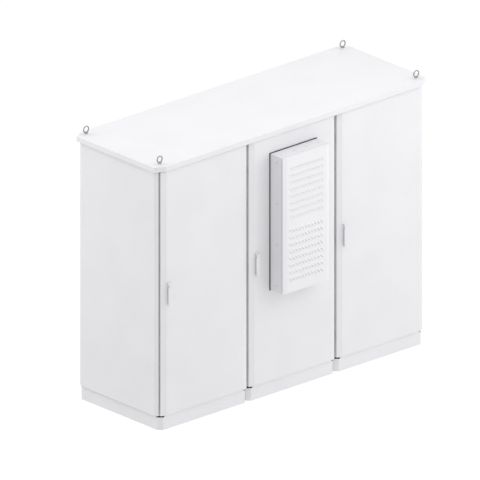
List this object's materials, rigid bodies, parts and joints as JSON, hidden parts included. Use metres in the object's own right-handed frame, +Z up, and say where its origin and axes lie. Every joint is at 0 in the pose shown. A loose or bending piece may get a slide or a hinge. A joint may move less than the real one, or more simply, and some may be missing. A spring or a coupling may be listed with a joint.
{
  "type": "electrical control cabinet",
  "caption": "Free-standing outdoor control cabinet in a row of bays, with hinged doors, door-mounted cooling unit, rain roof, lifting eyes and plinth.",
  "frame": {"origin": "on the floor, under the centre of the whole outline, cooling unit included", "axes": "+X to the right seen from the doors, +Y to the rear, +Z up"},
  "size_m": [2.476, 0.994, 1.981],
  "materials": {
    "plinth_paint": "fine textured powder coat",
    "frame_steel": "satin powder coat",
    "inner_sheet": "galvanised sheet",
    "cabinet_paint": "fine textured powder coat, light grey",
    "roof_paint": "fine textured powder coat, light grey",
    "unit_paint": "fine textured powder coat, light grey",
    "seal_foam": "foamed in place seal",
    "gasket_rubber": "dull black rubber",
    "hinge_steel": "zinc plated",
    "eye_steel": "forged, zinc plated",
    "handle_plastic": "fine grained, light grey"
  },
  "bodies": {
    "cabinet": {"plinth_1": "plinth_paint", "plinth_2": "plinth_paint", "plinth_3": "plinth_paint", "frame_1": "frame_steel", "frame_2": "frame_steel", "frame_3": "frame_steel", "rain_lip_1": "frame_steel", "rain_lip_2": "frame_steel", "rain_lip_3": "frame_steel", "floor_plate_1": "inner_sheet", "floor_plate_2": "inner_sheet", "floor_plate_3": "inner_sheet", "rear_panel_1": "cabinet_paint", "rear_panel_2": "cabinet_paint", "rear_panel_3": "cabinet_paint", "hinge_bracket_1": "hinge_steel", "hinge_bracket_2": "hinge_steel", "hinge_bracket_3": "hinge_steel", "lifting_eye_1": "eye_steel", "lifting_eye_2": "eye_steel", "lifting_eye_3": "eye_steel", "lifting_eye_4": "eye_steel", "side_panel_left": "cabinet_paint", "side_panel_right": "cabinet_paint", "top_plate": "inner_sheet", "roof": "roof_paint"},
    "door_leaf_1": {"door_1": "cabinet_paint", "door_seal_1": "seal_foam", "hinge_knuckle_1": "hinge_steel", "handle_base_1": "handle_plastic"},
    "lever_1": {"handle_lever_1": "handle_plastic"},
    "door_leaf_2": {"door_2": "cabinet_paint", "door_seal_2": "seal_foam", "hinge_knuckle_2": "hinge_steel", "handle_base_2": "handle_plastic", "ac_gasket": "gasket_rubber", "ac_body": "unit_paint", "ac_cover": "unit_paint", "ac_inner_case": "inner_sheet"},
    "lever_2": {"handle_lever_2": "handle_plastic"},
    "door_leaf_3": {"door_3": "cabinet_paint", "door_seal_3": "seal_foam", "hinge_knuckle_3": "hinge_steel", "handle_base_3": "handle_plastic"},
    "lever_3": {"handle_lever_3": "handle_plastic"}
  },
  "joints": [
    {"name": "door_1_hinge", "type": "hinge", "parent": "cabinet", "child": "door_leaf_1", "pos_m": [-0.42, -0.334, 0.9895], "axis": [0, 0, 1], "range_deg": [0, 90]},
    {"name": "handle_1_lift", "type": "hinge", "parent": "door_leaf_1", "child": "lever_1", "pos_m": [-1.132, -0.37, 1.0565], "axis": [-1, 0, 0], "range_deg": [0, 45]},
    {"name": "door_2_hinge", "type": "hinge", "parent": "cabinet", "child": "door_leaf_2", "pos_m": [0.38, -0.334, 0.9895], "axis": [0, 0, 1], "range_deg": [0, 90]},
    {"name": "handle_2_lift", "type": "hinge", "parent": "door_leaf_2", "child": "lever_2", "pos_m": [-0.332, -0.37, 1.0565], "axis": [-1, 0, 0], "range_deg": [0, 45]},
    {"name": "door_3_hinge", "type": "hinge", "parent": "cabinet", "child": "door_leaf_3", "pos_m": [1.18, -0.334, 0.9895], "axis": [0, 0, 1], "range_deg": [0, 90]},
    {"name": "handle_3_lift", "type": "hinge", "parent": "door_leaf_3", "child": "lever_3", "pos_m": [0.468, -0.37, 1.0565], "axis": [-1, 0, 0], "range_deg": [0, 45]}
  ]
}
